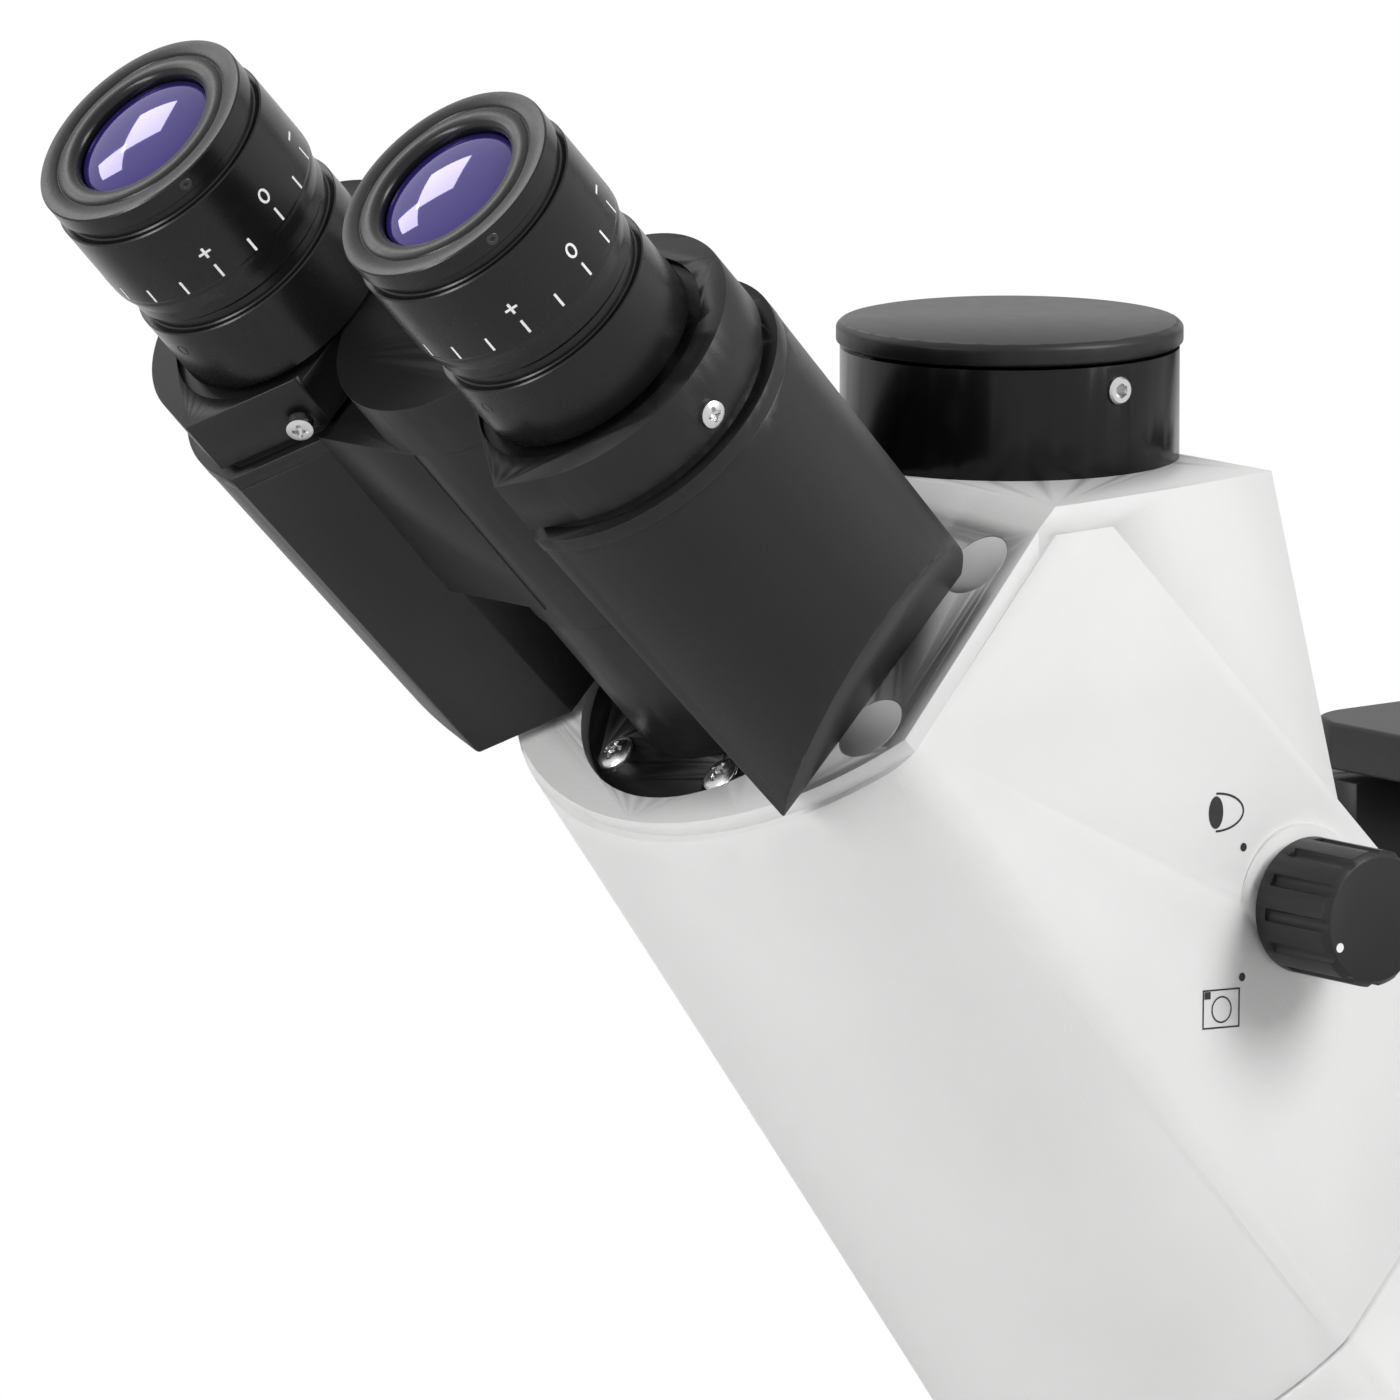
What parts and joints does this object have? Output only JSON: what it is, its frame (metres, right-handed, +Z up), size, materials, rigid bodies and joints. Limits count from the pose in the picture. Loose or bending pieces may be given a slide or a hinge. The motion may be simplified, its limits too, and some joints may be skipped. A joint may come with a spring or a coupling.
{
  "type": "inverted microscope",
  "caption": "Inverted trinocular microscope with a folding binocular head, camera port, moving stage, focusing nosepiece and overhead illumination.",
  "frame": {"origin": "on the bench, under the middle of the whole instrument", "axes": "+Z up, -Y towards the user at the eyepieces, +X to the user's right"},
  "size_m": [0.28, 0.5939, 0.53],
  "materials": {
    "light_grey_paint": "satin",
    "black_paint": "satin",
    "stage_black": "satin",
    "black_plastic": "fine",
    "knob_plastic": "fluted",
    "bright_steel": "brushed",
    "dark_flange": "satin",
    "chrome": "polished",
    "turret_metal": "satin",
    "lens_glass": "coated",
    "mirror_glass": "silvered",
    "rubber": "matt"
  },
  "bodies": {
    "stand": {"base_casting": "light_grey_paint", "bottom_plate": "black_paint", "rubber_feet": "rubber", "power_inlet": "black_plastic", "body_frame": "light_grey_paint", "arm_housing": "light_grey_paint", "top_cover": "light_grey_paint", "cover_plugs": "light_grey_paint", "camera_port_tube": "black_paint", "hinge_shaft": "black_paint", "head_flange": "dark_flange", "flange_screws": "bright_steel", "tube_lens_barrel": "black_paint", "tube_lens": "lens_glass", "path_mirrors": "mirror_glass", "stage_frame": "black_paint", "stage_plate": "stage_black", "stage_insert": "stage_black", "pillar": "light_grey_paint", "lamp_arm": "light_grey_paint", "lamp_house": "light_grey_paint", "field_lens_barrel": "black_paint", "field_lens": "lens_glass", "condenser_bracket": "black_paint", "condenser_body": "black_paint", "condenser_lens": "lens_glass"},
    "right_arm": {"right_arm_casting": "black_paint", "right_prism_cover": "black_paint", "right_arm_prism": "lens_glass", "right_eyepiece_tube": "black_paint"},
    "left_arm": {"left_arm_casting": "black_paint", "left_prism_cover": "black_paint", "left_arm_prism": "lens_glass", "left_eyepiece_tube": "black_paint"},
    "right_dioptre": {"right_dioptre_ring": "black_plastic", "right_eye_lens": "lens_glass"},
    "left_dioptre": {"left_dioptre_ring": "black_plastic", "left_eye_lens": "lens_glass"},
    "port_cap": {"port_cap": "black_plastic"},
    "light_path_selector": {"light_path_knob": "knob_plastic", "selector_shaft": "black_paint", "beam_prism": "lens_glass"},
    "nosepiece_slide": {"nosepiece_carrier": "black_paint"},
    "turret": {"nosepiece_turret": "turret_metal", "objective_4x": "chrome", "objective_10x": "chrome", "objective_20x": "chrome", "objective_40x": "chrome"},
    "coarse_focus": {"coarse_knobs": "black_plastic"},
    "fine_focus": {"fine_knobs": "black_plastic"},
    "stage_y": {"stage_y_carriage": "black_paint"},
    "stage_x": {"stage_x_slider": "black_paint", "specimen_holder": "stage_black"},
    "stage_y_knob": {"stage_y_knob": "black_plastic"},
    "stage_x_knob": {"stage_x_knob": "black_plastic"},
    "aperture_ring": {"aperture_ring": "black_plastic"},
    "field_ring": {"field_iris_ring": "black_plastic"},
    "phase_slider": {"phase_slider": "black_plastic"},
    "power_rocker": {"power_rocker": "black_plastic"},
    "brightness_dial": {"brightness_dial": "black_plastic"}
  },
  "joints": [
    {"name": "right_arm_fold", "type": "hinge", "parent": "stand", "child": "right_arm", "pos_m": [0, -0.24825, 0.33255], "axis": [0, -0.6947, 0.7193], "range_deg": [-43.4, 7.5]},
    {"name": "left_arm_fold", "type": "hinge", "parent": "stand", "child": "left_arm", "pos_m": [0, -0.24131, 0.32535], "axis": [0, -0.6947, 0.7193], "range_deg": [-7.5, 43.4]},
    {"name": "right_dioptre_turn", "type": "hinge", "parent": "right_arm", "child": "right_dioptre", "pos_m": [0.03775, -0.27269, 0.35065], "axis": [0, -0.6947, 0.7193], "range_deg": [-100, 100]},
    {"name": "left_dioptre_turn", "type": "hinge", "parent": "left_arm", "child": "left_dioptre", "pos_m": [-0.03775, -0.27269, 0.35065], "axis": [0, -0.6947, 0.7193], "range_deg": [-100, 100]},
    {"name": "port_cap_lift", "type": "slide", "parent": "stand", "child": "port_cap", "axis": [0, 0, 1], "range_m": [0, 0.02]},
    {"name": "light_path_turn", "type": "hinge", "parent": "stand", "child": "light_path_selector", "pos_m": [0.04, -0.12018, 0.2351], "axis": [1, 0, 0], "range_deg": [-73, 0]},
    {"name": "nosepiece_lift", "type": "slide", "parent": "stand", "child": "nosepiece_slide", "axis": [0, 0, 1], "range_m": [-0.006, 0.003]},
    {"name": "turret_turn", "type": "hinge", "parent": "nosepiece_slide", "child": "turret", "pos_m": [0, 0.08513, 0.17674], "axis": [0, -0.342, 0.9397], "continuous": true},
    {"name": "coarse_focus_turn", "type": "hinge", "parent": "stand", "child": "coarse_focus", "pos_m": [0, 0.15232, 0.085], "axis": [1, 0, 0], "range_deg": [-57.3, 28.7]},
    {"name": "fine_focus_turn", "type": "hinge", "parent": "stand", "child": "fine_focus", "pos_m": [0, 0.15232, 0.085], "axis": [1, 0, 0], "continuous": true},
    {"name": "stage_y_travel", "type": "slide", "parent": "stand", "child": "stage_y", "axis": [0, 1, 0], "range_m": [-0.035, 0.035]},
    {"name": "stage_x_travel", "type": "slide", "parent": "stage_y", "child": "stage_x", "axis": [1, 0, 0], "range_m": [-0.04, 0.04]},
    {"name": "stage_y_knob_turn", "type": "hinge", "parent": "stage_y", "child": "stage_y_knob", "pos_m": [0.124, 0.11332, 0.19], "axis": [0, 0, 1], "range_deg": [-255, 255]},
    {"name": "stage_x_knob_turn", "type": "hinge", "parent": "stage_y", "child": "stage_x_knob", "pos_m": [0.124, 0.11332, 0.17], "axis": [0, 0, 1], "range_deg": [-290, 290]},
    {"name": "aperture_turn", "type": "hinge", "parent": "stand", "child": "aperture_ring", "pos_m": [0, 0.11332, 0.377], "axis": [0, 0, 1], "range_deg": [-35, 35]},
    {"name": "field_iris_turn", "type": "hinge", "parent": "stand", "child": "field_ring", "pos_m": [0, 0.11332, 0.45], "axis": [0, 0, 1], "range_deg": [-60, 60]},
    {"name": "phase_slider_travel", "type": "slide", "parent": "stand", "child": "phase_slider", "axis": [1, 0, 0], "range_m": [-0.032, 0.032]},
    {"name": "power_rocker_tilt", "type": "hinge", "parent": "stand", "child": "power_rocker", "pos_m": [0.03, 0.28922, 0.025], "axis": [1, 0, 0], "range_deg": [-20, 0]},
    {"name": "brightness_turn", "type": "hinge", "parent": "stand", "child": "brightness_dial", "pos_m": [0.118, -0.12268, 0.024], "axis": [1, 0, 0], "range_deg": [0, 270]}
  ],
  "couplings": [
    {"joint": "left_arm_fold", "follows": "right_arm_fold", "ratio": -1},
    {"joint": "coarse_focus_turn", "follows": "nosepiece_lift", "rad_per_m": 166.67},
    {"joint": "stage_y_knob_turn", "follows": "stage_y_travel", "rad_per_m": 125},
    {"joint": "stage_x_knob_turn", "follows": "stage_x_travel", "rad_per_m": 125}
  ]
}
